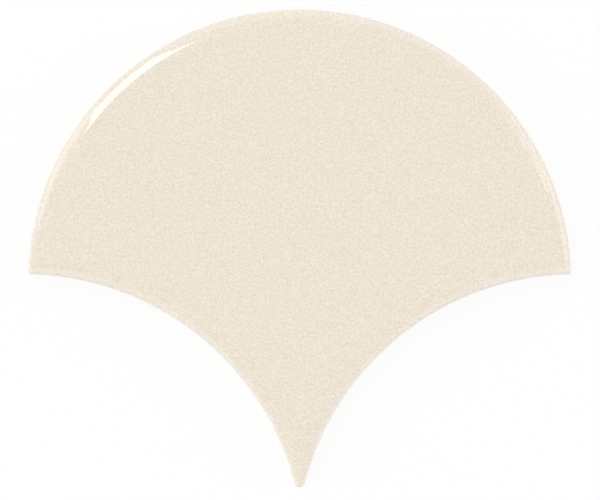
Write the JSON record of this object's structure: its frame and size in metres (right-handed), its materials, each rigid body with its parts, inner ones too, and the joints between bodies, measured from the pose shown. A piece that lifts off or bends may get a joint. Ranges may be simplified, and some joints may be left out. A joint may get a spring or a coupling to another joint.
{
  "type": "fish scale tile",
  "caption": "Fan-shaped glazed ceramic wall tile with a round head, two hollow flanks and a narrow tail; its soft rim and keyed back let rows interlock like fish scales.",
  "frame": {"origin": "centre of the round head's arc, on the plane of the back", "axes": "+X across the width, +Y from the tail to the head, +Z out of the glazed face"},
  "size_m": [0.12, 0.1055, 0.008],
  "materials": {
    "cream_glaze": "gloss"
  },
  "bodies": {
    "root": {"fish_scale_tile": "cream_glaze"}
  },
  "joints": []
}
